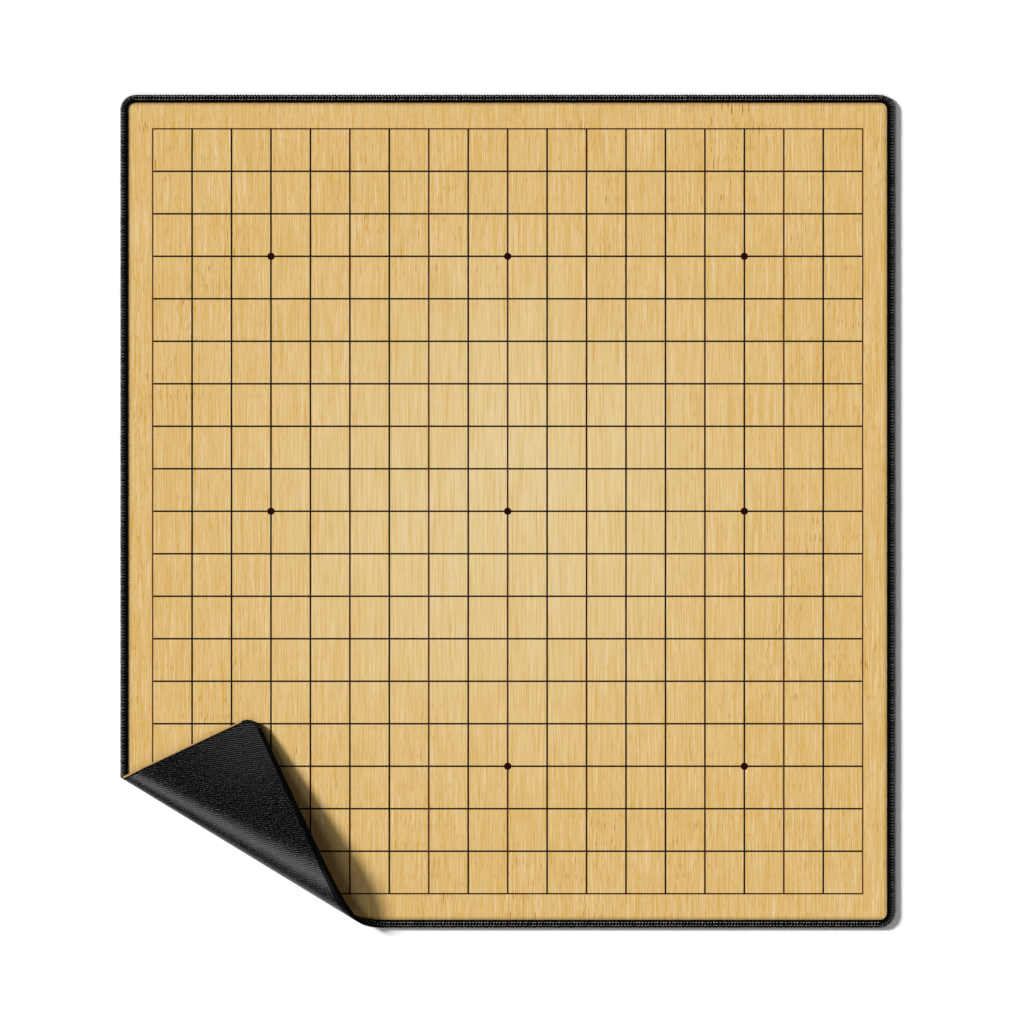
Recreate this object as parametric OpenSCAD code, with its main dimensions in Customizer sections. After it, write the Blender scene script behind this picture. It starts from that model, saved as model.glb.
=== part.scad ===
// Roll-up go mat: printed cloth on a rubber sheet, edged with an overlock seam.
// The near left corner is folded over onto the face round a cone-shaped bend.
// Origin at the middle of the underside, +Y away from the player, +Z up, millimetres.

/* [Grid] */
// Number of lines each way
line_count = 19; // [13, 19]
// Distance between neighbouring lines from left to right
cell_w = 22; // [20:0.1:26]
// Distance between neighbouring lines from near to far
cell_l = 23.7; // [20:0.1:28]
// Width of an inner line
line_w = 0.7; // [0.4:0.1:1.5]
// Width of the four outer lines
frame_line_w = 0.6; // [0.4:0.1:1.5]
// Diameter of a star point
star_d = 3.9; // [2:0.1:6]
// Thickness of the printed ink
ink_t = 0.05; // [0.02:0.01:0.1]

/* [Sheet] */
// Bare cloth between the outer lines and the left and right edges
side_margin = 18; // [12:0.5:40]
// Bare cloth between the outer lines and the near and far edges
end_margin = 19; // [12:0.5:40]
// Radius of the corners
corner_r = 8.5; // [6.5:0.5:12]
// Thickness of the rubber
rubber_t = 1.7; // [1.2:0.1:2.4]
// Thickness of the cloth
cloth_t = 0.3; // [0.2:0.05:0.5]

/* [Seam] */
// Width of the seam on the face, from the edge to the inside of the needle row
seam_w = 4.5; // [3:0.1:6]
// Width of the seam on the underside
under_w = 1.8; // [1.2:0.1:4]
// Thickness of a layer of looper thread
thread_t = 0.3; // [0.2:0.05:0.45]
// Radius of the seam's outer edges
edge_r = 0.6; // [0.3:0.05:0.65]
// Width of the needle row
needle_w = 0.7; // [0.4:0.1:1]
// Height of the needle row above the cloth
needle_h = 0.4; // [0.2:0.05:0.5]
// Slack between a thread and what it wraps
thread_gap = 0.02; // [0.01:0.01:0.05]

/* [Folded corner] */
// Where the bend starts on the left edge, from the corner
fold_left = 87.5; // [60:0.5:110]
// Where the bend starts on the near edge, from the corner
fold_near = 152.5; // [110:0.5:180]
// Bend radius at the left edge, at half the sheet's thickness, where it is tightest
bend_r_left = 2.1; // [2:0.1:3]
// Bend radius at the near edge, at half the sheet's thickness, where it is tightest
bend_r_near = 6.5; // [4:0.1:7]
// Turn after which the bend starts to open
open_from = 130; // [110:1:150]
// How many times its tightest radius the bend has opened by when it ends
open_by = 8.5; // [4:0.5:12]
// Clearance between the turned tip and the printed face
tip_gap = 0.3; // [0.2:0.1:1]
// Facets round the bend
bend_steps = 40; // [24:2:48]

/* [Hidden] */
$fn = 96;

// Colours
rubber_colour = [0.13, 0.13, 0.13];
cloth_colour = [0.87, 0.74, 0.49];
ink_colour = [0.07, 0.03, 0.04];
looper_colour = [0.1, 0.1, 0.11];
needle_colour = [0.2, 0.2, 0.21];

// Sheet
grid_w = (line_count - 1) * cell_w;
grid_l = (line_count - 1) * cell_l;
mat_w = grid_w + 2 * side_margin;
mat_l = grid_l + 2 * end_margin;
left_x = -mat_w / 2;
near_y = -mat_l / 2;
straight_x = mat_w / 2 - corner_r;
straight_y = mat_l / 2 - corner_r;
sheet_t = rubber_t + cloth_t;
half_t = sheet_t / 2;
laminate_inset = thread_t + thread_gap;

// Seam
seam_top = sheet_t + thread_t;
seam_mid = seam_top / 2;
lacing_end = seam_w - needle_w - thread_gap;
lower_end = under_w - thread_gap;
edge_arc_steps = 4;
needle_arc_steps = 6;

// Grid: a star point sits on every third line from the edge and in the middle
star_line = 3;
middle_line = (line_count - 1) / 2;
star_lines = [star_line, middle_line, line_count - 1 - star_line];

// Bend: a cone whose straight lines all pass through one apex, left of the mat. Its flat facets
// meet on those lines. Each tilts by the same angle against the one before, and the facets widen
// as the bend opens into the turned corner. Angles round the apex start where the bend starts.
LEFT = 0;
NEAR = 1;
UP = [0, 0, 1];
bend_start_left = [left_x, near_y + fold_left];
bend_start_near = [left_x + fold_near, near_y];
bend_len = norm(bend_start_near - bend_start_left);
bend_dip = atan(fold_left / fold_near);
cone_slope = (bend_r_near - bend_r_left) / bend_len;
cone_angle = atan(cone_slope);
apex = bend_start_left - bend_r_left / cone_slope * ray(0);
last_facet = bend_steps - 1;
flat_frame = [[ray(0).x, ray(0).y, 0], [ray(90).x, ray(90).y, 0], UP, 0];

// The corner turns past half a turn, until its tip stands just clear of the printed face
sharp_corner = [left_x, near_y] - apex;
corner_rho = norm(sharp_corner);
corner_phi = atan2(sharp_corner * ray(90), sharp_corner * ray(0));
tip_z = half_t + sheet_t + thread_t + ink_t + tip_gap;
least_turn = 170;
most_turn = 220;
turn_accuracy = 0.000001;
fold_turn = settled_turn(least_turn, most_turn);
rulings = concat(facet_frames(fold_turn), [end_frame(fold_turn)]);
corner_frame = rulings[bend_steps];
fold_phi = corner_frame[3];

// Gap that keeps the bend clear of the flat mat and of the turned corner, so that they only touch
bend_gap = 0.005;

// A distance beyond every part of the mat
far_out = 2 * (mat_w + mat_l);

// Direction, in plan, of the line that leaves the apex at angle phi
function ray(phi) = [cos(bend_dip + phi), -sin(bend_dip + phi)];

// Angle at the apex that facet i takes up
function facet_phi(i, turn) =
    let (tilt_step = turn / last_facet)
    let (opening = max(0, (i * tilt_step - open_from) / (turn - open_from)))
    let (width = i == 0 || i == last_facet ? tilt_step / 2 : tilt_step)
    width * sin(cone_angle) * (1 + (open_by - 1) * opening);

// A facet's frame holds the line that it starts on, the direction across it, its normal on the
// printed side and the angle at the apex. It is slid across the facet, then tilted into the next.
function slid(frame, phi) = [
    cos(phi) * frame[0] + sin(phi) * frame[1],
    cos(phi) * frame[1] - sin(phi) * frame[0],
    frame[2],
    frame[3] + phi
];
function tilted(frame, tilt) = [
    frame[0],
    cos(tilt) * frame[1] + sin(tilt) * frame[2],
    cos(tilt) * frame[2] - sin(tilt) * frame[1],
    frame[3]
];
function next_frame(frame, i, turn) = tilted(slid(frame, facet_phi(i, turn)), turn / last_facet);
function facet_frames(turn) = [
    for (i = 0, frame = flat_frame; i <= last_facet; frame = next_frame(frame, i, turn), i = i + 1)
    frame
];
function end_frame(turn) = slid(facet_frames(turn)[last_facet], facet_phi(last_facet, turn));

// Height of the corner's tip after a turn, and the turn that brings it down to its place
function corner_z(turn) =
    let (frame = slid(end_frame(turn), corner_phi - end_frame(turn)[3]))
    half_t + corner_rho * frame[0].z;
function settled_turn(least, most) =
    let (middle = (least + most) / 2)
    most - least < turn_accuracy ? middle :
    corner_z(middle) > tip_z ? settled_turn(middle, most) : settled_turn(least, middle);

// Distance from the apex, at angle phi, to a line that runs d inside the left or the near edge
function rho(edge, d, phi) =
    edge == LEFT
    ? (left_x + d - apex.x) / cos(bend_dip + phi)
    : (apex.y - near_y - d) / sin(bend_dip + phi);

// Direction of the sheet's thickness where two facets meet
function mitre(step) =
    let (before = rulings[max(0, step - 1)][2], after = rulings[step][2])
    (before + after) / (1 + before * after);

// Where a point of the flat sheet, at height z, comes to lie on one of the bend's lines
function bent(edge, d, z, step) =
    [apex.x, apex.y, half_t]
    + rho(edge, d, rulings[step][3]) * rulings[step][0]
    + (z - half_t) * mitre(step);

// A section's points run one way round, whichever edge it follows, and keep their first point
function turned(p) = [for (i = [0 : len(p) - 1]) p[(len(p) - i) % len(p)]];
function flat_area(p) =
    let (n = len(p))
    let (q = [for (v = p) [rho(v[0], v[1], 0), v[2]]])
    let (parts = [for (i = [0 : n - 1]) q[i].x * q[(i + 1) % n].y - q[(i + 1) % n].x * q[i].y])
    parts * [for (i = [0 : n - 1]) 1];
function one_way(p) = flat_area(p) > 0 ? p : turned(p);

// A seam section, given as distance from the edge and height, placed along one edge
function on_edge(edge, section) = [for (p = section) [edge, p.x, p.y]];

// Arc of points round a centre
function arc(centre, r, from, to, steps) = [
    for (i = [0 : steps])
    let (a = from + (to - from) * i / steps)
    centre + r * [cos(a), sin(a)]
];

// Seam sections
function upper_section() = concat(
    [[thread_t, sheet_t], [thread_t, seam_mid], [0, seam_mid]],
    arc([edge_r, seam_top - edge_r], edge_r, 180, 90, edge_arc_steps),
    [[lacing_end, seam_top], [lacing_end, sheet_t]]
);
function lower_section() = concat(
    [[thread_t, thread_t], [lower_end, thread_t], [lower_end, 0]],
    arc([edge_r, edge_r], edge_r, 270, 180, edge_arc_steps),
    [[0, seam_mid], [thread_t, seam_mid]]
);
function needle_section() = [
    for (i = [0 : needle_arc_steps])
    let (a = 180 * i / needle_arc_steps)
    [seam_w - needle_w / 2 * (1 - cos(a)), sheet_t + needle_h * sin(a)]
];

// Position of a printed line, and its width
function line_x(i) = -grid_w / 2 + i * cell_w;
function line_y(i) = -grid_l / 2 + i * cell_l;
function width_of(i) = i == 0 || i == line_count - 1 ? frame_line_w : line_w;

// Section of a printed line that runs d inside an edge
function line_section(d, w) = [
    [d - w / 2, sheet_t], [d + w / 2, sheet_t],
    [d + w / 2, sheet_t + ink_t], [d - w / 2, sheet_t + ink_t]
];

// Number of facets, with a part of the last, that a printed line crosses before its end
function facets_crossed(line_end) =
    let (away = line_end - apex)
    let (phi = atan2(away * ray(90), away * ray(0)))
    lookup(phi, [for (i = [0 : bend_steps]) [rulings[i][3], i]]);

// A section at a step round the bend; between two steps it lies on the flat facet that joins them
function whole_ring(p, step) = [for (v = p) bent(v[0], v[1], v[2], step)];
function ring(p, step) =
    let (last = floor(step), part = step - last)
    part == 0 ? whole_ring(p, last) : (1 - part) * whole_ring(p, last) + part * whole_ring(p, last + 1);

// Solid swept round the bend, up to a step
module swept(section, end_step = bend_steps, caps = undef) {
    p = one_way(section);
    n = len(p);
    facets = ceil(end_step);
    start_caps = is_undef(caps) ? [[for (j = [0 : n - 1]) j]] : caps;
    end_caps = [for (cap = start_caps) [for (j = turned(cap)) facets * n + j]];
    sides = [
        for (i = [0 : facets - 1], j = [0 : n - 1])
        let (k = (j + 1) % n)
        let (a = i * n + j, b = i * n + k, c = b + n, d = a + n)
        each p[j][2] <= p[k][2] ? [[a, c, b], [a, d, c]] : [[a, d, b], [b, d, c]]
    ];
    polyhedron(
        points = [for (i = [0 : facets]) each ring(p, min(i, end_step))],
        faces = concat(start_caps, end_caps, sides)
    );
}

// Everything on the corner's side of the line that runs a gap beyond the one at angle phi
module corner_side(phi, gap) {
    start = apex + gap * ray(phi + 90);
    ahead = far_out * ray(phi);
    aside = far_out * ray(phi + 90);
    polygon([start, start + ahead, start + ahead + aside, start + aside]);
}

// Keeps the flat mat, up to where the bend starts
module on_mat() {
    difference() {
        children();
        linear_extrude(height = far_out, center = true) corner_side(0, -bend_gap);
    }
}

// Keeps the corner, from where the bend ends, and turns it over to where it lies
module on_corner() {
    flat_end = slid(flat_frame, fold_phi);
    turn_matrix = [
        for (i = [0 : 2])
        corner_frame[0][i] * flat_end[0] + corner_frame[1][i] * flat_end[1] + corner_frame[2][i] * UP
    ];
    pivot = [apex.x, apex.y, half_t];
    shift = pivot - turn_matrix * pivot;
    multmatrix([for (i = [0 : 2]) concat(turn_matrix[i], shift[i])])
        intersection() {
            children();
            linear_extrude(height = far_out, center = true) corner_side(fold_phi, bend_gap);
        }
}

// Outline of the mat, moved in from the edge
module outline(inset) {
    square([mat_w - 2 * inset, 2 * straight_y], center = true);
    square([2 * straight_x, mat_l - 2 * inset], center = true);
    for (x = [-straight_x, straight_x], y = [-straight_y, straight_y])
        translate([x, y]) circle(r = corner_r - inset);
}

// Rubber sheet, stepped in underneath to take the lower looper thread
module rubber_sheet() {
    linear_extrude(height = rubber_t) outline(under_w);
    translate([0, 0, thread_t]) linear_extrude(height = rubber_t - thread_t) outline(laminate_inset);
}

// Printed cloth, the size of the rubber
module cloth_sheet() {
    translate([0, 0, rubber_t]) linear_extrude(height = cloth_t) outline(laminate_inset);
}

// Star points
module star_discs() {
    for (i = star_lines, j = star_lines)
        translate([line_x(i), line_y(j)]) circle(d = star_d);
}

// All printed lines, broken where a star point covers them
module line_print() {
    translate([0, 0, sheet_t]) linear_extrude(height = ink_t) difference() {
        for (i = [0 : line_count - 1]) {
            translate([line_x(i), 0]) square([width_of(i), grid_l + frame_line_w], center = true);
            translate([0, line_y(i)]) square([grid_w + frame_line_w, width_of(i)], center = true);
        }
        star_discs();
    }
}

// Straight length of seam along +X, with the mat on its +Y side
module seam_bar(section, length) {
    rotate([90, 0, 90]) linear_extrude(height = length) polygon(section);
}

// Seam round the far right corner
module seam_arc(section) {
    translate([straight_x, straight_y]) rotate_extrude(angle = 90)
        polygon([for (p = section) [corner_r - p.x, p.y]]);
}

// The four sides of the seam: the far side has both its corners, the near side the right one
module seam_far(section) {
    translate([straight_x, -near_y]) rotate(180) seam_bar(section, 2 * straight_x);
    seam_arc(section);
    mirror([1, 0]) seam_arc(section);
}
module seam_right(section) {
    translate([-left_x, -straight_y]) rotate(90) seam_bar(section, 2 * straight_y);
}
module seam_near(section) {
    translate([-straight_x, near_y]) seam_bar(section, 2 * straight_x);
    mirror([0, 1]) seam_arc(section);
}
module seam_left(section) {
    translate([left_x, straight_y]) rotate(-90) seam_bar(section, 2 * straight_y);
}
module seam_near_left(section) {
    translate([-straight_x, near_y]) seam_bar(section, 2 * straight_x);
    mirror([1, 0]) mirror([0, 1]) seam_arc(section);
}

// Seam where the two edges pass round the bend
module seam_fold(section) {
    swept(on_edge(LEFT, section));
    swept(on_edge(NEAR, section));
}

// The flat mat
module rubber_base() color(rubber_colour) on_mat() rubber_sheet();
module cloth_top() color(cloth_colour) on_mat() cloth_sheet();
module grid_lines() color(ink_colour) on_mat() line_print();
module star_points() color(ink_colour)
    translate([0, 0, sheet_t]) linear_extrude(height = ink_t) star_discs();
module upper_looper_far() color(looper_colour) seam_far(upper_section());
module upper_looper_right() color(looper_colour) seam_right(upper_section());
module upper_looper_near() color(looper_colour) on_mat() seam_near(upper_section());
module upper_looper_left() color(looper_colour) on_mat() seam_left(upper_section());
module lower_looper_far() color(looper_colour) seam_far(lower_section());
module lower_looper_right() color(looper_colour) seam_right(lower_section());
module lower_looper_near() color(looper_colour) on_mat() seam_near(lower_section());
module lower_looper_left() color(looper_colour) on_mat() seam_left(lower_section());
module needle_thread() color(needle_colour) {
    seam_far(needle_section());
    seam_right(needle_section());
    on_mat() seam_near(needle_section());
    on_mat() seam_left(needle_section());
}

// The bend
module rubber_fold() {
    step_caps = [[0, 1, 2, 7], [5, 6, 7, 2, 3, 4]];
    color(rubber_colour) swept([
        [LEFT, under_w, 0], [NEAR, under_w, 0],
        [NEAR, under_w, thread_t], [NEAR, laminate_inset, thread_t],
        [NEAR, laminate_inset, rubber_t], [LEFT, laminate_inset, rubber_t],
        [LEFT, laminate_inset, thread_t], [LEFT, under_w, thread_t]
    ], caps = step_caps);
}
module cloth_fold() color(cloth_colour) swept([
    [LEFT, laminate_inset, rubber_t], [NEAR, laminate_inset, rubber_t],
    [NEAR, laminate_inset, sheet_t], [LEFT, laminate_inset, sheet_t]
]);
module grid_lines_fold() color(ink_colour) for (i = [0 : line_count - 1]) {
    end_x = facets_crossed([line_x(i), line_y(0)]);
    end_y = facets_crossed([line_x(0), line_y(i)]);
    if (end_x > 0) swept(on_edge(LEFT, line_section(line_x(i) - left_x, width_of(i))), end_x);
    if (end_y > 0) swept(on_edge(NEAR, line_section(line_y(i) - near_y, width_of(i))), end_y);
}
module upper_looper_fold() color(looper_colour) seam_fold(upper_section());
module lower_looper_fold() color(looper_colour) seam_fold(lower_section());
module needle_thread_fold() color(needle_colour) seam_fold(needle_section());

// The turned corner
module rubber_corner() color(rubber_colour) on_corner() rubber_sheet();
module cloth_corner() color(cloth_colour) on_corner() cloth_sheet();
module grid_lines_corner() color(ink_colour) on_corner() line_print();
module upper_looper_corner_left() color(looper_colour) on_corner() seam_left(upper_section());
module upper_looper_corner_near() color(looper_colour) on_corner() seam_near_left(upper_section());
module lower_looper_corner_left() color(looper_colour) on_corner() seam_left(lower_section());
module lower_looper_corner_near() color(looper_colour) on_corner() seam_near_left(lower_section());
module needle_thread_corner() color(needle_colour) {
    on_corner() seam_left(needle_section());
    on_corner() seam_near_left(needle_section());
}

rubber_base();
cloth_top();
grid_lines();
star_points();
upper_looper_far();
upper_looper_right();
upper_looper_near();
upper_looper_left();
lower_looper_far();
lower_looper_right();
lower_looper_near();
lower_looper_left();
needle_thread();
rubber_fold();
cloth_fold();
grid_lines_fold();
upper_looper_fold();
lower_looper_fold();
needle_thread_fold();
rubber_corner();
cloth_corner();
grid_lines_corner();
upper_looper_corner_left();
upper_looper_corner_near();
lower_looper_corner_left();
lower_looper_corner_near();
needle_thread_corner();
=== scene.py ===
import math

import bpy
import numpy as np
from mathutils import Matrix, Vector


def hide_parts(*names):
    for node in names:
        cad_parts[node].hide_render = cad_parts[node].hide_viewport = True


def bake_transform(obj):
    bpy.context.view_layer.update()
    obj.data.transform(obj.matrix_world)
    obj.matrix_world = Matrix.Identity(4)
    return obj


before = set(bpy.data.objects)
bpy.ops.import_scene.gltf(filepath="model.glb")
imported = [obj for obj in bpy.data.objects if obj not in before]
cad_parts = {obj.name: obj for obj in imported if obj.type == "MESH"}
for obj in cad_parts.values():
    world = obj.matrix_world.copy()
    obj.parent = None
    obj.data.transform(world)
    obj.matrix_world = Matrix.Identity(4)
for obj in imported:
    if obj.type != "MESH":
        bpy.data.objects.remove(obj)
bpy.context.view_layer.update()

# Roll-up go mat with one corner folded over. Everything is made on the flat mat, in
# millimetres, then laid along the folded sheet and scaled to metres.
MM = 0.001
UP = np.array([0.0, 0.0, 1.0])

# The mat, as in the part's source
LINES = 19
CELL = np.array([22.0, 23.7])
HALF = np.array([216.0, 232.3])
CORNER_R = 8.5
RUBBER_T = 1.7
TOP = 2.0
INK_T = 0.05
THREAD_T = 0.3
SHEET_INSET = 0.32
SEAM_W, UNDER_W = 4.5, 1.8

# The fold, as in the part's source: a cone whose lines all meet in one apex
FOLD_LEFT, FOLD_NEAR = 87.5, 152.5
BEND_R_LEFT, BEND_R_NEAR = 2.1, 6.5
OPEN_FROM, OPEN_BY = math.radians(130), 8.5
TIP_GAP = 0.3
BEND_STEPS = 40
DIP = math.atan(FOLD_LEFT / FOLD_NEAR)
SLOPE = (BEND_R_NEAR - BEND_R_LEFT) / math.hypot(FOLD_LEFT, FOLD_NEAR)

# Limits between which the corner's turn is looked for, and how closely, in degrees
LEAST_TURN, MOST_TURN, TURN_ACCURACY = 170.0, 220.0, 1e-10

# Facet line where each layer is split into two pieces, steps that round off a facet, and
# margin outside the bend where the sheet is cut once more
SPLIT_STEP = 28
FINER = 3
GUARD = math.radians(0.25)


def ray(phi):
    """Direction on the flat mat of the line at this angle round the apex."""
    return np.array([math.cos(DIP + phi), -math.sin(DIP + phi), 0.0])


def unit(v):
    return v / np.linalg.norm(v)


APEX = np.array([-HALF[0], -HALF[1] + FOLD_LEFT, TOP / 2]) - BEND_R_LEFT / SLOPE * ray(0)


def fold_angle(points):
    """Angle of points of the flat mat round the apex, from where the bend starts."""
    rel = points[:, :2] - APEX[:2]
    return np.arctan2(rel @ ray(math.pi / 2)[:2], rel @ ray(0)[:2])


def swung(a, b, angle):
    """Two directions at right angles, the first one swung towards the second."""
    cosine, sine = math.cos(angle), math.sin(angle)
    return cosine * a + sine * b, cosine * b - sine * a


def facets(turn):
    """Tilt and width of each facet of the bend, and the directions along, across and out on each line."""
    step = turn / (BEND_STEPS - 1)
    tilt = np.arange(BEND_STEPS) * step
    opening = np.clip((tilt - OPEN_FROM) / (turn - OPEN_FROM), 0, None)
    wide = math.sin(math.atan(SLOPE)) * step * (1 + (OPEN_BY - 1) * opening)
    wide[[0, -1]] /= 2
    along, across, out = ray(0), ray(math.pi / 2), UP
    before_across, before_out = across, out
    lines = []
    for k in range(BEND_STEPS):
        lines.append((along, unit(across + before_across), unit(out + before_out)))
        along, across = swung(along, across, wide[k])
        before_across, before_out = across, out
        if k < BEND_STEPS - 1:
            across, out = swung(across, out, step)
    lines.append((along, across, out))
    return tilt, wide, lines


def settled_turn():
    """The turn that brings the corner's tip down to just above the printed face."""
    corner = np.array([-HALF])
    corner_phi = fold_angle(corner)[0]
    corner_rho = np.hypot(*(corner[0] - APEX[:2]))
    tip_rise = TOP + THREAD_T + INK_T + TIP_GAP
    least, most = LEAST_TURN, MOST_TURN
    while most - least >= TURN_ACCURACY:
        middle = (least + most) / 2
        _, wide, lines = facets(math.radians(middle))
        along, across, _ = lines[-1]
        towards_tip, _ = swung(along, across, corner_phi - wide.sum())
        if corner_rho * towards_tip[2] > tip_rise:
            least = middle
        else:
            most = middle
    return math.radians((least + most) / 2)


def rounded(line, following, wide, t):
    """Direction and normal part of the way between two lines of the bend, on a smooth curve."""
    along, across, out = line
    next_along, next_across, next_out = following
    direction = ((1 + 2 * t) * (1 - t) ** 2 * along + t * (1 - t) ** 2 * wide * across
                 + t * t * (3 - 2 * t) * next_along + t * t * (t - 1) * wide * next_across)
    return unit(direction), unit((1 - t) * out + t * next_out)


def fold_lines():
    """Angle, direction, normal and tilt of each line of the bend, and the corner's turn as a matrix."""
    tilt, wide, lines = facets(settled_turn())
    phi = np.concatenate([[0], np.cumsum(wide)])
    along, across, out = lines[-1]
    flat_along, flat_across = ray(phi[-1]), ray(phi[-1] + math.pi / 2)
    turned = np.outer(along, flat_along) + np.outer(across, flat_across) + np.outer(out, UP)
    angles, directions, normals = [], [], []
    for k in range(BEND_STEPS):
        for t in np.arange(FINER) / FINER:
            direction, normal = rounded(lines[k], lines[k + 1], wide[k], t)
            angles.append(phi[k] + t * wide[k])
            directions.append(direction)
            normals.append(normal)
    angles.append(phi[-1])
    directions.append(along)
    normals.append(out)
    middles = (phi[1:] + phi[:-1]) / 2
    tilts = np.interp(angles, middles, tilt)
    return np.array(angles), np.array(directions), np.array(normals), tilts, turned


PHI, DIRECTION, NORMAL, TILT, TURNED = fold_lines()
SPLIT = SPLIT_STEP * FINER
RULINGS = np.concatenate([[-GUARD], PHI, [PHI[-1] + GUARD]])


def place(points):
    """Points of the flat mat, laid along the folded sheet."""
    phi = fold_angle(points)
    rho = np.hypot(*(points[:, :2] - APEX[:2]).T)
    j = np.clip(np.searchsorted(PHI, phi, "right") - 1, 0, len(PHI) - 2)
    t = np.clip((phi - PHI[j]) / (PHI[j + 1] - PHI[j]), 0, 1)[:, None]
    along = (1 - t) * DIRECTION[j] + t * DIRECTION[j + 1]
    normal = (1 - t) * NORMAL[j] + t * NORMAL[j + 1]
    placed = APEX + rho[:, None] * along + (points[:, 2:] - TOP / 2) * normal
    placed[phi <= 0] = points[phi <= 0]
    over = phi >= PHI[-1]
    placed[over] = APEX + (points[over] - APEX) @ TURNED.T
    return placed


# Materials

# Where the printed wood is palest, the spacing of the cloth's threads, and the direction,
# spacing and waviness of the rubber's ridges
PALE_MIDDLE = (-4, 5, 0)
WEAVE = 0.36
RIDGE_ANGLE = math.radians(-72)
RIDGE_PITCH = 1.15
RIDGE_WANDER = 9

# Scale of the threads' own coordinates along and across the seam, and the value across where
# no wear or painted highlight is marked
ALONG_UV, ACROSS_UV = 0.001, 0.1
NO_WEAR_OR_HIGHLIGHT = 1

# Distance of the needle row from the mat's edge
NEEDLE_IN = 4.15


def srgb(*levels):
    """A colour from its levels of 0 to 255."""
    shares = [level / 255 for level in levels]
    linear = [c / 12.92 if c <= 0.04045 else ((c + 0.055) / 1.055) ** 2.4 for c in shares]
    return (*linear, 1.0)


class Graph:
    """The nodes of a material or of the world."""

    def __init__(self, owner):
        self.owner = owner
        self.tree = owner.node_tree

    def add(self, kind, inputs, **settings):
        """A node whose inputs are plain values or the outputs of other nodes."""
        node = self.tree.nodes.new("ShaderNode" + kind)
        for key, value in settings.items():
            setattr(node, key, value)
        for key, value in inputs.items():
            if isinstance(value, bpy.types.NodeSocket):
                self.tree.links.new(value, node.inputs[key])
            else:
                node.inputs[key].default_value = value
        return node

    def math(self, operation, a, b=0.0, c=0.0, clamp=False):
        return self.add("Math", {0: a, 1: b, 2: c}, operation=operation, use_clamp=clamp).outputs[0]

    def times(self, a, b):
        return self.math("MULTIPLY", a, b)

    def vector_math(self, operation, *inputs):
        return self.add("VectorMath", dict(enumerate(inputs)), operation=operation).outputs

    def uv(self, name):
        return self.add("UVMap", {}, uv_map=name).outputs[0]

    def flat(self):
        """The place on the flat mat, in millimetres."""
        size = (2 * HALF[0], 2 * HALF[1], 0)
        low = (-HALF[0], -HALF[1], 0)
        return self.vector_math("MULTIPLY_ADD", self.uv("flat"), size, low)[0]

    def distance(self, vector, point):
        return self.vector_math("DISTANCE", vector, point)["Value"]

    def stretch(self, vector, x, y, shift=0.0):
        return self.vector_math("MULTIPLY_ADD", vector, (x, y, 1.0), (shift, shift, shift))[0]

    def parts(self, vector):
        return self.add("SeparateXYZ", {0: vector}).outputs

    def vector(self, x, y, z=0.0):
        return self.add("CombineXYZ", {0: x, 1: y, 2: z}).outputs[0]

    def noise(self, vector, detail=2.0, roughness=0.5):
        inputs = {"Vector": vector, "Scale": 1.0, "Detail": detail, "Roughness": roughness}
        return self.add("TexNoise", inputs).outputs[0]

    def spread(self, value, low, high, to_low=0.0, to_high=1.0):
        """The value's range low to high, eased onto another range."""
        inputs = {"Value": value, "From Min": low, "From Max": high, "To Min": to_low, "To Max": to_high}
        return self.add("MapRange", inputs, interpolation_type="SMOOTHSTEP").outputs[0]

    def mix(self, factor, a, b):
        # The node's sockets for colours share their names with others, so they go by number
        return self.add("Mix", {0: factor, 6: a, 7: b}, data_type="RGBA").outputs[2]

    def bump(self, height, strength, distance, below=None):
        inputs = {"Height": height, "Strength": strength, "Distance": distance * MM}
        if below is not None:
            inputs["Normal"] = below
        return self.add("Bump", inputs).outputs[0]

    def show(self, shader):
        self.add("OutputMaterial", {"Surface": shader.outputs[0]}, is_active_output=True)
        return self.owner

    def finish(self, colour, roughness, normal, specular, sheen=0.0):
        """The finished material, with these on its shader."""
        inputs = {"Base Color": colour, "Roughness": roughness, "Normal": normal,
                  "Specular IOR Level": specular, "Sheen Weight": sheen}
        return self.show(self.add("BsdfPrincipled", inputs))


def material_graph(name):
    material = bpy.data.materials.new(name)
    material.use_nodes = True
    material.node_tree.nodes.clear()
    return Graph(material)


def weave(g, at):
    """Height of the cloth's plain weave."""
    x, y, _ = g.parts(at)
    over = g.math("SINE", g.times(x, math.pi / WEAVE))
    under = g.math("SINE", g.times(y, math.pi / WEAVE))
    return g.times(over, under)


def wood_ground(g, at, away):
    """Printed wood, palest near the middle, with broad bands along the grain."""
    clouds = g.times(g.noise(g.stretch(at, 0.012, 0.006)), 60)
    pale = g.spread(g.math("ADD", away, clouds), 20, 250, 1, 0)
    colour = g.mix(pale, srgb(221, 186, 120), srgb(229, 205, 154))
    broad = g.noise(g.stretch(at, 0.10, 0.004, shift=3.1), 3.0, 0.6)
    return g.mix(g.spread(broad, 0.35, 0.7, 0, 0.22), colour, srgb(216, 180, 106))


def wood_streaks(g, at, away, colour):
    """Fine streaks of the grain over a colour: long brown, long pale and short brown ones."""
    calm = g.spread(away, 30, 240, 0.66, 0.76)
    rough = g.spread(away, 60, 220, 0.25, 0.66)
    for across, along, shift, low, high, strength, tint in (
            (2.1, 0.032, 11.7, 0.44, 0.74, calm, srgb(207, 162, 70)),
            (2.0, 0.04, 27.3, 0.48, 0.76, calm, srgb(237, 211, 167)),
            (1.8, 0.18, 63.1, 0.54, 0.74, rough, srgb(208, 150, 54))):
        streak = g.noise(g.stretch(at, across, along, shift=shift), 1.0, 0.5)
        colour = g.mix(g.times(g.spread(streak, low, high), strength), colour, tint)
    return colour


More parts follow.
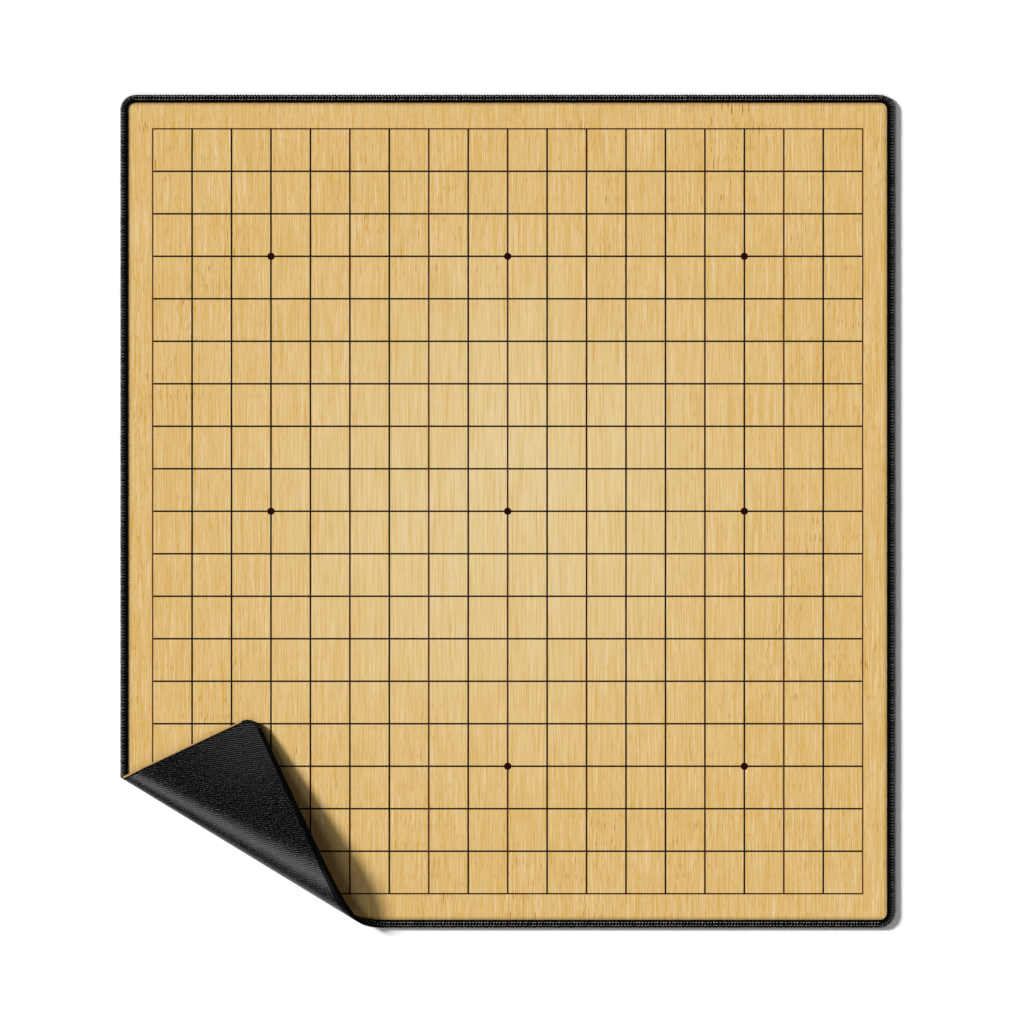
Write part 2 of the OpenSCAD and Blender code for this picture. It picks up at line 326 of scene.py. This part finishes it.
def wood_flecks(g, at, away, colour):
    """Dark flecks in scattered places over a colour, fainter near the middle."""
    scattered = g.spread(g.noise(g.stretch(at, 0.03, 0.012, shift=5.9), 2.0), 0.45, 0.65)
    places = g.times(scattered, g.spread(away, 60, 220, 0.1, 1))
    fleck = g.spread(g.noise(g.stretch(at, 1.5, 0.1, shift=41.0), 1.0, 0.4), 0.64, 0.73)
    return g.mix(g.times(fleck, places), colour, srgb(176, 108, 14))


def painted_seam_shade(g, at, colour):
    """A colour, with painted shade just inside the seam."""
    x, y, _ = g.parts(at)
    from_side = g.math("SUBTRACT", HALF[0], g.math("ABSOLUTE", x))
    from_end = g.math("SUBTRACT", HALF[1], g.math("ABSOLUTE", y))
    from_edge = g.math("MINIMUM", from_side, from_end)
    return g.mix(g.spread(from_edge, SEAM_W - 0.6, SEAM_W + 2.4, 0.62, 0), colour, srgb(92, 64, 26))


def printed_cloth():
    g = material_graph("printed_cloth")
    at = g.flat()
    away = g.distance(at, PALE_MIDDLE)
    colour = wood_ground(g, at, away)
    colour = wood_streaks(g, at, away, colour)
    colour = wood_flecks(g, at, away, colour)
    # Painted shade just inside the seam
    colour = painted_seam_shade(g, at, colour)
    fibre = g.noise(g.stretch(at, 5.0, 5.0), 2.0)
    normal = g.bump(g.math("ADD", weave(g, at), fibre), 0.1, 0.03)
    return g.finish(colour, g.spread(fibre, 0.2, 0.8, 0.78, 0.95), normal, specular=0.1, sheen=0.03)


def ridges(g, at):
    """The rubber's wavy ridges, their height with gaps in it, and the noise that makes the gaps."""
    x, y, _ = g.parts(at)
    sine, cosine = math.sin(RIDGE_ANGLE), math.cos(RIDGE_ANGLE)
    across = g.math("ADD", g.times(x, -sine), g.times(y, cosine))
    along = g.math("ADD", g.times(x, cosine), g.times(y, sine))
    wander = g.noise(g.vector(g.times(along, 0.16), g.times(across, 0.1)), 2.0)
    phase = g.math("ADD", g.times(across, 2 * math.pi / RIDGE_PITCH), g.times(wander, RIDGE_WANDER))
    ridge = g.math("MULTIPLY_ADD", g.math("SINE", phase), 0.5, 0.5)
    broken = g.noise(g.vector(g.times(along, 1.3), g.times(across, 1.1)), 2.0, 0.6)
    height = g.times(ridge, g.spread(broken, 0.3, 0.58, 0.35, 1))
    return ridge, height, broken


def rippled_rubber(name, shade, specular):
    """Ridged rubber with a little dust, paler round the corner's tip by painted light, and turned black by a
    share of painted shade.
    """
    g = material_graph(name)
    at = g.flat()
    ridge, height, broken = ridges(g, at)
    pores = g.noise(g.stretch(at, 3.2, 3.2, shift=8.0), 3.0, 0.7)
    cloudy = g.noise(g.stretch(at, 0.03, 0.03, shift=1.7), 2.0)
    tone = g.math("MULTIPLY_ADD", g.times(height, ridge), 0.9, g.spread(pores, 0.4, 0.75, 0, 0.5))
    colour = g.mix(g.spread(tone, 0.8, 1.25), srgb(0, 0, 0), srgb(130, 130, 131))
    # Dust here and there, and painted light that makes the rubber paler round the corner's tip
    from_tip = g.distance(at, (-HALF[0], -HALF[1], 0))
    dust_and_tip_light = g.math("MAXIMUM", g.spread(cloudy, 0.45, 0.75, 0, 0.12), g.spread(from_tip, 12, 54, 0.55, 0))
    colour = g.mix(g.times(dust_and_tip_light, g.spread(tone, 0.25, 0.75, 0.1, 1)), colour, srgb(78, 78, 79))
    # Painted shade: by this share the rubber is turned black
    colour = g.mix(g.spread(pores, 0.3, 0.6, shade, 0.8 * shade), colour, srgb(1, 1, 1))
    normal = g.bump(pores, 0.35, 0.07, g.bump(height, 0.4, 0.13))
    return g.finish(colour, g.spread(broken, 0.2, 0.8, 0.22, 0.29), normal, specular)


def spun_thread(name, dark, wear_and_highlight, rows):
    """Twisted thread, paler in rows of wear and painted highlight, each with its middle across the seam,
    reach and strength.
    """
    g = material_graph(name)
    run, inward, _ = g.parts(g.uv("seam"))
    along, around, _ = g.parts(g.uv("twist"))
    ply = g.math("SINE", g.math("ADD", g.times(along, 11.0), g.times(around, 2 * math.pi)))
    fibre = g.noise(g.vector(g.times(along, 7), g.times(around, 9), g.times(run, 900)), 2.0, 0.6)
    each = g.noise(g.vector(g.times(run, 520), g.times(inward, 3)), 1.0)
    rubbed_and_highlit = 0.0
    for middle, reach, amount in rows:
        off = g.math("ABSOLUTE", g.math("SUBTRACT", g.times(inward, 1 / ACROSS_UV), middle))
        rubbed_and_highlit = g.math("MAXIMUM", rubbed_and_highlit, g.spread(off, 0, reach, amount, 0))
    rubbed_and_highlit = g.math("MULTIPLY", rubbed_and_highlit, g.spread(each, 0.3, 0.65, 0.35, 1), clamp=True)
    colour = g.mix(rubbed_and_highlit, dark, wear_and_highlight)
    colour = g.mix(g.spread(fibre, 0.35, 0.7, 0, 0.6), colour, srgb(1, 1, 2))
    normal = g.bump(ply, 0.5, 0.05, g.bump(fibre, 0.4, 0.04))
    return g.finish(colour, g.spread(fibre, 0.3, 0.7, 0.5, 0.75), normal, specular=0.03)


def printed_ink():
    """Ink from black over dark red to brown, by the tone of each line."""
    g = material_graph("printed_ink")
    at = g.flat()
    tone, _, _ = g.parts(g.uv("tone"))
    taken = g.noise(g.stretch(at, 0.5, 0.5), 3.0, 0.6)
    colour = g.mix(g.spread(tone, 0, 0.3), srgb(3, 2, 6), srgb(44, 6, 8))
    colour = g.mix(g.spread(tone, 0.3, 1), colour, srgb(98, 60, 38))
    colour = g.mix(g.spread(taken, 0.4, 0.75, 0, 0.06), colour, srgb(58, 34, 30))
    normal = g.bump(weave(g, at), 0.1, 0.03)
    return g.finish(colour, g.spread(taken, 0.3, 0.7, 0.75, 0.9), normal, specular=0.04)


# Plain rubber, and rubber turned black as painted shade for the strip along the near edge's underside
RUBBER = rippled_rubber("rippled_rubber", shade=0.0, specular=0.6)
PAINTED_SHADE_RUBBER = rippled_rubber("painted_shade_rubber", shade=1.0, specular=0.08)
CLOTH = printed_cloth()
INK = printed_ink()
# Threads, each paler in rows of wear and painted highlight
UPPER = spun_thread("upper_thread", srgb(1, 1, 2), srgb(226, 224, 218),
                    [(1.0, 0.36, 0.56), (2.6, 0.36, 0.54), (11.0, 0.34, 0.6), (12.6, 0.34, 0.8)])
LOWER = spun_thread("lower_thread", srgb(2, 2, 3), srgb(170, 169, 166), [(1.55, 0.3, 0.4)])
NEEDLE = spun_thread("needle_thread", srgb(2, 2, 3), srgb(30, 30, 32), [(NEEDLE_IN, 0.3, 0.4)])


# Meshes

# Angle from which an edge stays sharp, and points in each round corner of an outline
SHARP = math.radians(40)
ARC_POINTS = 13

# Least area of a polygon that is kept, digits that tell two points apart, and least slant of a
# direction that isn't along an axis
SLIVER = 1e-6
POINT_DIGITS = 4
SLANT = 1e-9

# Signs of the mat's corners, in the order of the seam
QUADRANTS = np.array([[1, 1], [-1, 1], [-1, -1], [1, -1]])


class Shape:
    """Points of the flat mat with faces, and the coordinates that their materials read."""

    def __init__(self):
        self.points, self.faces, self.kinds = [], [], []
        self.layers = {"seam": [], "twist": [], "tone": []}
        self.count = 0

    def add(self, points, faces, seam=None, twist=None, tone=0.0, kind=0):
        """Adds faces of one kind, which is the number of their material."""
        n = len(points)
        self.faces += [[i + self.count for i in face] for face in faces]
        self.kinds += [kind] * len(faces)
        self.points.append(points)
        self.layers["seam"].append(np.zeros((n, 2)) if seam is None else seam)
        self.layers["twist"].append(np.zeros((n, 2)) if twist is None else twist)
        self.layers["tone"].append(np.tile([tone, 0.0], (n, 1)))
        self.count += n


def uv_layer(mesh, name, values, corners):
    layer = mesh.uv_layers.new(name=name)
    layer.uv.foreach_set("vector", values[corners].astype(np.float32).ravel())


def folded_mesh(name, shape, points, materials, layers):
    """A shape laid along the folded sheet, in metres."""
    mesh = bpy.data.meshes.new(name)
    mesh.from_pydata((place(points) * MM).tolist(), [], shape.faces)
    corners = np.empty(len(mesh.loops), int)
    mesh.loops.foreach_get("vertex_index", corners)
    uv_layer(mesh, "flat", points[:, :2] / (2 * HALF) + 0.5, corners)
    for layer in layers:
        uv_layer(mesh, layer, np.concatenate(shape.layers[layer]), corners)
    mesh.shade_smooth()
    mesh.set_sharp_from_angle(angle=SHARP)
    for material in materials:
        mesh.materials.append(material)
    mesh.polygons.foreach_set("material_index", shape.kinds)
    mesh.update()
    return mesh


def bend(piece):
    """Bakes the piece's transform into its mesh."""
    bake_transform(piece)


def make(name, shape, materials, nodes, layers=()):
    """A piece of the scene, in place of these nodes of the part."""
    points = np.concatenate(shape.points)
    piece = bpy.data.objects.new(name, folded_mesh(name, shape, points, materials, layers))
    bpy.context.scene.collection.objects.link(piece)
    bend(piece)
    if nodes:
        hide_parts(*nodes)
    return piece


def outline(inset):
    """The mat's rounded outline, moved in."""
    turns = np.linspace(0, math.pi / 2, ARC_POINTS)
    corners = []
    for k, quadrant in enumerate(QUADRANTS):
        angles = turns + k * math.pi / 2
        arc = (CORNER_R - inset) * np.column_stack([np.cos(angles), np.sin(angles)])
        corners.append(quadrant * (HALF - CORNER_R) + arc)
    return np.concatenate(corners)


def keep(polygon, side):
    """The part of a convex polygon where its points' signed distances from a line are positive."""
    kept = []
    for k in range(len(polygon)):
        before, here = side[k - 1], side[k]
        if (before < 0) != (here < 0):
            step = polygon[k] - polygon[k - 1]
            kept.append(polygon[k - 1] + step * before / (before - here))
        if here >= 0:
            kept.append(polygon[k])
    return np.array(kept).reshape(-1, 2)


def cut(polygon, phi, keep_low):
    """The part of a convex polygon on one side of a line through the apex."""
    beyond = (polygon - APEX[:2]) @ ray(phi + math.pi / 2)[:2]
    return keep(polygon, -beyond if keep_low else beyond)


def area(polygon):
    x, y = polygon.T
    return abs(np.dot(x, np.roll(y, -1)) - np.dot(y, np.roll(x, -1))) / 2


def cells(polygon, turned):
    """A convex polygon cut along the lines of the bend, and only one side of the split."""
    # The rulings start with the margin's, so the split is one further on among them
    split = SPLIT + 1
    rulings = RULINGS[split + 1:] if turned else RULINGS[:split]
    rest = cut(polygon, RULINGS[split], not turned)
    found = []
    for phi in rulings:
        if len(rest) < 3:
            break
        found.append(cut(rest, phi, True))
        rest = cut(rest, phi, False)
    found.append(rest)
    return [c for c in found if len(c) > 2 and area(c) > SLIVER]


def joined(polygons):
    """The points of polygons, each point once, and the polygons as lists of their numbers."""
    index, points, faces = {}, [], []
    for polygon in polygons:
        face = []
        for p in polygon:
            key = tuple(np.round(p, POINT_DIGITS))
            if key not in index:
                index[key] = len(points)
                points.append(p)
            if index[key] not in face:
                face.append(index[key])
        if len(face) > 2:
            faces.append(face)
    return points, faces


def slab(shape, polygon, low, high, turned, tone=0.0, kind=0):
    """Adds a closed slab of this outline. Returns its flat area."""
    found = cells(polygon, turned)
    flat, tops = joined(found)
    if not tops:
        return 0.0
    n = len(flat)
    edges = {}
    for face in tops:
        for a, b in zip(face, face[1:] + face[:1]):
            edges[a, b] = True
    walls = [[b, a, a + n, b + n] for a, b in edges if (b, a) not in edges]
    bottoms = [[i + n for i in reversed(face)] for face in tops]
    points = np.concatenate([np.column_stack([flat, np.full(n, z)]) for z in (high, low)])
    shape.add(points, tops + bottoms + walls, tone=tone, kind=kind)
    return sum(area(c) for c in found)


# The seam

# Length of a stitch, and height where the two loopers meet
STITCH_PITCH = 1.66
MEET = 1.15

# Finest step along a band of thread, and which of these steps are kept in the mat's round
# corners and on its straight sides
BAND_STEP, ARC_EVERY, STRAIGHT_EVERY = 0.25, 3, 24

# Seed of the stitches' unevenness, and length by which the twist moves on with each stitch
UNEVEN_SEED = 7
TWIST_SHIFT = 3.7

# The near side has rows of wear and painted highlight of its own, so its coordinate is moved on by this
NEAR_MARK = 9.65

# How far the rubber's lower layer and the lower band reach up into the layer above them
LAP = 0.02


def rim(s):
    """Point and inward direction on the mat's outer edge, by the length along it."""
    straight = 2 * (HALF - CORNER_R)
    quarter = CORNER_R * math.pi / 2
    lengths = np.array([straight[1], quarter, straight[0], quarter] * 2)
    ends = np.cumsum(lengths)
    s = np.mod(s, ends[-1])
    k = np.minimum(np.searchsorted(ends, s, "right"), len(ends) - 1)
    t = s - (ends - lengths)[k]
    side, in_arc = k // 2, k % 2 == 1
    turn = side * math.pi / 2 + np.where(in_arc, t / CORNER_R, 0)
    out = np.column_stack([np.cos(turn), np.sin(turn)])
    centre = (HALF - CORNER_R) * QUADRANTS[side]
    ahead = np.column_stack([-np.sin(turn), np.cos(turn)])
    back = np.where(in_arc, 0, t - lengths[k])
    return centre + CORNER_R * out + back[:, None] * ahead, -out


RIM_LENGTH = float(4 * (HALF - CORNER_R).sum() + 2 * math.pi * CORNER_R)
STITCHES = round(RIM_LENGTH / STITCH_PITCH)
PITCH = RIM_LENGTH / STITCHES

# Where the left edge begins and ends along the seam
LEFT_START = float(2 * (HALF - CORNER_R).sum() + math.pi * CORNER_R)
LEFT_STOP = LEFT_START + 2 * float(HALF[1] - CORNER_R)


def on_seam(seam):
    """Seam coordinates (length along the edge, distance in from it, height) as points of the mat."""
    at, inward = rim(seam[:, 0])
    return np.column_stack([at + seam[:, 1:2] * inward, seam[:, 2]])


def seam_uv(seam, wear_and_highlight):
    """Seam coordinates as the threads' materials read them, with the distance in only where there are rows of
    wear and painted highlight.
    """
    if wear_and_highlight:
        return seam[:, :2] * (ALONG_UV, ACROSS_UV)
    return seam[:, :2] * (ALONG_UV, 0) + (0, NO_WEAR_OR_HIGHLIGHT)


def band_steps(s, turned):
    """Numbers of the lengths in s at which a band on one side of the split has a section."""
    count = np.arange(len(s))
    at, inward = rim(s)
    phi = fold_angle(at)
    in_bend = (phi > -GUARD) & (phi < PHI[-1] + GUARD)
    in_arc = np.abs(np.abs(inward).max(1) - 1) > SLANT
    kept = in_bend | (in_arc & (count % ARC_EVERY == 0)) | (count % STRAIGHT_EVERY == 0)
    own = (phi >= PHI[SPLIT]) == turned
    first = int(np.argmax(own & ~np.roll(own, 1))) if turned or not own.all() else 0
    order = np.roll(count, -first)
    last = order[np.flatnonzero(own[order])[-1]]
    between = [i for i in order if own[i] and kept[i] and i not in (first, last)]
    return [first, *between, last]


def band(shape, profile, turned, start=0.0, stop=RIM_LENGTH):
    """Adds a closed strip of this section along the seam, or a length of it, on one side of the split."""
    profile = np.array(profile)
    s = np.arange(start, stop, BAND_STEP)
    steps = band_steps(s, turned)
    m = len(profile)
    seam = np.concatenate([np.column_stack([np.full(m, s[i]), profile]) for i in steps])
    around = np.tile(np.linspace(0, 1, m), len(steps))
    faces = []
    for k in range(len(steps) - 1):
        for j in range(m):
            a, b = k * m + j, k * m + (j + 1) % m
            faces.append([a, b, b + m, a + m])
    faces += [list(range(m))[::-1], [(len(steps) - 1) * m + j for j in range(m)]]
    shape.add(on_seam(seam), faces, seam_uv(seam, False), np.column_stack([seam[:, 0], around]))


def tube(path, half_w, half_h, sides, lengthwise=False):
    """A thread along a path in seam coordinates: its points, its faces and its twist coordinates."""
    path = np.array(path, float)
    ahead = np.gradient(path, axis=0)
    across = np.array([0, 1.0, 0]) if lengthwise else np.array([1.0, 0, 0])
    turns = np.linspace(0, 2 * math.pi, sides, endpoint=False)
    length = np.concatenate([[0], np.cumsum(np.linalg.norm(np.diff(path, axis=0), axis=1))])
    points, twist = [], []
    for p, direction, run in zip(path, ahead, length):
        lift = unit(np.cross(direction, across))
        for k, t in enumerate(turns):
            points.append(p + half_w * math.cos(t) * across + half_h * math.sin(t) * lift)
            twist.append((run, k / sides))
    faces = []
    for k in range(len(path) - 1):
        for j in range(sides):
            a, b = k * sides + j, k * sides + (j + 1) % sides
            faces.append([a, a + sides, b + sides, b])
    last = (len(path) - 1) * sides
    faces += [list(range(sides)), [last + j for j in reversed(range(sides))]]
    return np.array(points), faces, np.array(twist)


def in_stitch(*path):
    """A path whose lengths along the seam are given in stitches."""
    return [(p * PITCH, d, z) for p, d, z in path]


RUNG = tube(in_stitch(
    (0.52, 3.85, 2.05), (0.50, 3.45, 2.18), (0.46, 2.7, 2.27), (0.40, 1.9, 2.20), (0.34, 1.0, 2.26),
    (0.28, 0.35, 2.12), (0.24, 0.06, 1.80), (0.22, 0.03, MEET)), half_w=0.48, half_h=0.16, sides=6)
RETURN = tube(in_stitch(
    (0.22, 0.06, MEET), (0.34, 0.10, 1.80), (0.55, 0.45, 2.10), (0.95, 1.9, 2.15), (1.30, 3.1, 2.15),
    (1.50, 3.8, 2.05)), half_w=0.22, half_h=0.12, sides=5)
UNDER_RUNG = tube(in_stitch(
    (0.22, 0.05, MEET), (0.24, 0.07, 0.60), (0.28, 0.35, 0.16), (0.34, 1.0, 0.13), (0.40, 1.74, 0.17)),
    half_w=0.34, half_h=0.12, sides=6)
UNDER_RETURN = tube(in_stitch(
    (0.22, 0.08, MEET), (0.40, 0.10, 0.60), (0.70, 0.45, 0.18), (1.05, 1.1, 0.16), (1.40, 1.72, 0.18)),
    half_w=0.22, half_h=0.11, sides=5)
NEEDLE_STITCH = tube(in_stitch(
    (0.04, NEEDLE_IN, 2.02), (0.14, NEEDLE_IN, 2.16), (0.34, NEEDLE_IN, 2.25), (0.66, NEEDLE_IN, 2.25),
    (0.86, NEEDLE_IN, 2.16), (0.96, NEEDLE_IN, 2.02)), half_w=0.3, half_h=0.16, sides=6, lengthwise=True)

# Sections of the bands under the stitches and of the cloth that shows past the turned edge
UPPER_BASE = [(4.4, 1.98), (4.36, 2.08), (3.8, 2.13), (0.7, 2.11), (0.2, 1.88), (0.1, MEET),
              (0.36, MEET), (0.36, 1.98)]
LOWER_BASE = [(0.36, THREAD_T + LAP), (0.36, MEET), (0.1, MEET), (0.2, 0.34), (0.6, 0.13), (1.7, 0.1),
              (1.76, 0.2), (1.78, THREAD_T + LAP)]
CLOTH_EDGE = [(0.02, 0.55), (0.05, 0.25), (0.28, 0.02), (0.8, -0.03), (0.8, 0.1), (0.4, 0.16),
              (0.22, 0.35), (0.2, 0.55)]


def stitches(shape, thread, turned, wobble, wear_and_highlight, side_rows):
    """Adds the same loop of thread at each stitch of the seam, a little uneven, on one side of the split."""
    points, faces, twist = thread
    uneven = np.random.default_rng(UNEVEN_SEED)
    middle = points.mean(0)
    for k in range(STITCHES):
        nudge = uneven.normal(0, 1, 3) * wobble
        at = points + (k * PITCH, 0, 0) + nudge * (1, 1, 0)
        at[:, 2] += nudge[2] * np.clip(np.abs(points[:, 2] - TOP / 2) - TOP / 2, 0, 1)
        spot = on_seam(np.array([[k * PITCH + middle[0], max(middle[1], 0), 0]]))
        if (fold_angle(spot)[0] >= PHI[SPLIT]) == turned:
            marked = at[:, :2].copy()
            if abs(spot[0, 0]) > HALF[0] - CORNER_R:
                marked[:, 1] = side_rows[0] + side_rows[1] * marked[:, 1]
            elif spot[0, 1] < 0:
                marked[:, 1] += NEAR_MARK
            shape.add(on_seam(at), faces, seam_uv(marked, wear_and_highlight), twist + (k * TWIST_SHIFT, 0))


# The pieces

# The print is wider than in the part's source, to be as dark as in the photo
LINE_W, FRAME_LINE_W, STAR_D = 0.9, 0.76, 4.1

# How far the ink reaches into the cloth, and how far the star points stand above the lines
INK_DEPTH, STAR_RISE = 0.01, 0.01

# Lines from one star point to the next, sides of a star point, and its tone
STARS_APART, STAR_SIDES, STAR_TONE = 6, 28, 0.2

# How far from black some of the lines are, by their numbers from the left and from the near side
UPRIGHT_TONES = {0: 0.8, 5: 0.45, 7: 0.65, 9: 0.55, 11: 0.28, 14: 0.4, 16: 0.65, 18: 0.85}
LEVEL_TONES = {0: 0.3, 18: 0.6}

# The strip of painted shade along the near edge's underside: its width at the left, and how much wider
# it gets with each millimetre to the right
STRIP_W, STRIP_GROWTH = 0.4, 0.016

SIDES = ("far", "right", "near", "left")
CORNER_SIDES = ("left", "near")


def piece_name(name, turned):
    return name + "_turned" if turned else name


def own_nodes(layer, flat_nodes, corner_nodes, turned):
    """The nodes of the part that a layer's piece stands for, on one side of the split."""
    return corner_nodes if turned else [*flat_nodes, layer + "_fold"]


def rubber_sheet(turned):
    shape = Shape()
    under = outline(UNDER_W)
    from_strip = under[:, 1] + HALF[1] - UNDER_W - STRIP_W - STRIP_GROWTH * (under[:, 0] + HALF[0])
    slab(shape, keep(under, from_strip), 0.0, THREAD_T + LAP, turned)
    # The strip along the near edge's underside is painted shade
    slab(shape, keep(under, -from_strip), 0.0, THREAD_T + LAP, turned, kind=1)
    slab(shape, outline(SHEET_INSET), THREAD_T, RUBBER_T, turned)
    make(piece_name("rubber_sheet", turned), shape, (RUBBER, PAINTED_SHADE_RUBBER),
         own_nodes("rubber", ["rubber_base"], ["rubber_corner"], turned))


def cloth_sheet(turned):
    shape = Shape()
    flat_area = slab(shape, outline(SHEET_INSET), RUBBER_T, TOP, turned)
    cloth = make(piece_name("printed_cloth", turned), shape, (CLOTH,),
                 own_nodes("cloth", ["cloth_top"], ["cloth_corner"], turned))


def cloth_edge():
    """The thin edge of cloth that shows along the left side of the turned corner."""
    shape = Shape()
    band(shape, CLOTH_EDGE, True, LEFT_START, LEFT_STOP)
    make("cloth_edge", shape, (CLOTH,), [])


def grid_lines(shape, turned):
    half = (LINES - 1) / 2 * CELL

    def half_width(k):
        return (FRAME_LINE_W if k in (0, LINES - 1) else LINE_W) / 2

    def box(x0, x1, y0, y1, tone):
        corners = np.array([(x0, y0), (x1, y0), (x1, y1), (x0, y1)])
        slab(shape, corners, TOP - INK_DEPTH, TOP + INK_T, turned, tone)

    for i in range(LINES):
        x, w = i * CELL[0] - half[0], half_width(i)
        box(x - w, x + w, -half[1] - FRAME_LINE_W / 2, half[1] + FRAME_LINE_W / 2, UPRIGHT_TONES.get(i, 0.0))
        if i == LINES - 1:
            break
        for j in range(LINES):
            y, h = j * CELL[1] - half[1], half_width(j)
            box(x + w, x + CELL[0] - half_width(i + 1), y - h, y + h, LEVEL_TONES.get(j, 0.0))


def star_points(shape, turned):
    turns = np.linspace(0, 2 * math.pi, STAR_SIDES, endpoint=False)
    disc = np.column_stack([np.cos(turns), np.sin(turns)]) * STAR_D / 2
    for i in (-1, 0, 1):
        for j in (-1, 0, 1):
            star = disc + np.array([i, j]) * STARS_APART * CELL
            slab(shape, star, TOP - INK_DEPTH, TOP + INK_T + STAR_RISE, turned, STAR_TONE)


def printed_lines(turned):
    shape = Shape()
    grid_lines(shape, turned)
    star_points(shape, turned)
    make(piece_name("printed_lines", turned), shape, (INK,),
         own_nodes("grid_lines", ["grid_lines", "star_points"], ["grid_lines_corner"], turned), ["tone"])


def thread_shape(loops, base, turned, wobble, side_rows):
    """Loops of thread along the seam, the first kind with rows of wear and painted highlight, on a band if
    there is one.
    """
    shape = Shape()
    if base:
        band(shape, base, turned)
    for k, loop in enumerate(loops):
        stitches(shape, loop, turned, np.array(wobble), k == 0, side_rows)
    return shape


def looper(name, material, loops, base, wobble, side_rows, turned):
    flat_nodes = [f"{name}_{side}" for side in SIDES]
    corner_nodes = [f"{name}_corner_{side}" for side in CORNER_SIDES]
    make(piece_name(name + "_lacing", turned), thread_shape(loops, base, turned, wobble, side_rows),
         (material,), own_nodes(name, flat_nodes, corner_nodes, turned), ["seam", "twist"])


def needle_row(turned):
    shape = thread_shape((NEEDLE_STITCH,), None, turned, wobble=(0.05, 0.03, 0.0), side_rows=(0.0, 1.0))
    make(piece_name("needle_row", turned), shape, (NEEDLE,),
         own_nodes("needle_thread", ["needle_thread"], ["needle_thread_corner"], turned), ["seam", "twist"])


for turned in (False, True):
    rubber_sheet(turned)
    cloth_sheet(turned)
    if turned:
        cloth_edge()
    printed_lines(turned)
    looper("upper_looper", UPPER, (RUNG, RETURN), UPPER_BASE,
           wobble=(0.09, 0.03, 0.12), side_rows=(1.16, 0.06), turned=turned)
    looper("lower_looper", LOWER, (UNDER_RUNG, UNDER_RETURN), LOWER_BASE,
           wobble=(0.09, 0.03, 0.0), side_rows=(1.74, 0.0), turned=turned)
    needle_row(turned)


# Floor, light and camera

# Floor and picture frame in metres, lens and sensor in millimetres, and how far the camera sees
FLOOR_HALF, FLOOR_DROP = 12.0, 0.00005
FRAME_WIDTH, FRAME_CENTRE = 0.5711, (0.00246, -0.00042)
LENS, SENSOR, CLIP_END = 400, 36, 100
WHITE = (1, 1, 1, 1)


def floor_material():
    """White paper, lifted a little where it is seen."""
    g = material_graph("white_floor")
    path = g.add("LightPath", {}).outputs
    mirrored = g.math("MAXIMUM", path["Is Glossy Ray"], path["Is Transmission Ray"])
    seen = g.math("MAXIMUM", path["Is Camera Ray"], mirrored)
    paper = g.add("BsdfDiffuse", {"Color": (0.97, 0.97, 0.97, 1)})
    lift = g.add("Emission", {"Color": WHITE, "Strength": g.times(seen, 0.03)})
    return g.show(g.add("AddShader", {0: paper.outputs[0], 1: lift.outputs[0]}))


def lay_floor():
    mesh = bpy.data.meshes.new("floor")
    mesh.from_pydata([(x * FLOOR_HALF, y * FLOOR_HALF, 0) for x, y in QUADRANTS], [], [[0, 1, 2, 3]])
    mesh.materials.append(floor_material())
    floor = bpy.data.objects.new("floor", mesh)
    floor.location.z = -FLOOR_DROP
    bpy.context.scene.collection.objects.link(floor)


def light_sky():
    """A sky that is white where it is seen, and lights most from halfway up."""
    world = bpy.data.worlds.new("studio")
    bpy.context.scene.world = world
    world.use_nodes = True
    g = Graph(world)
    background = g.tree.nodes["Background"]
    background.inputs["Color"].default_value = WHITE
    _, _, rise = g.parts(g.add("TexCoord", {}).outputs["Generated"])
    glow = g.times(g.spread(rise, 0.0, 0.45, 0.3, 1), g.spread(rise, 0.55, 0.95, 0.15, 0.015))
    shown = g.math("MAXIMUM", glow, g.add("LightPath", {}).outputs["Is Camera Ray"])
    g.tree.links.new(shown, background.inputs["Strength"])


def sun(name, towards, level, angle):
    """A lamp that lights level ground to this share of white."""
    towards = Vector(towards).normalized()
    data = bpy.data.lights.new(name, "SUN")
    data.energy = level * math.pi / towards.z
    data.angle = math.radians(angle)
    light = bpy.data.objects.new(name, data)
    light.rotation_euler = towards.to_track_quat("Z", "Y").to_euler()
    bpy.context.scene.collection.objects.link(light)


def camera_above():
    """A camera that looks straight down and sees the frame's width at the height of the printed face."""
    camera = bpy.data.objects.new("camera", bpy.data.cameras.new("camera"))
    camera.data.lens = LENS
    camera.data.sensor_width = SENSOR
    camera.data.clip_end = CLIP_END
    camera.location = (*FRAME_CENTRE, TOP * MM + FRAME_WIDTH * LENS / SENSOR)
    bpy.context.scene.collection.objects.link(camera)
    bpy.context.scene.camera = camera


lay_floor()
light_sky()
sun("key", towards=(-0.834, 0.353, 0.424), level=0.79, angle=11)
sun("fill", towards=(-0.305, -0.502, 0.809), level=0.15, angle=28)
camera_above()
bpy.context.scene.view_settings.view_transform = "Standard"
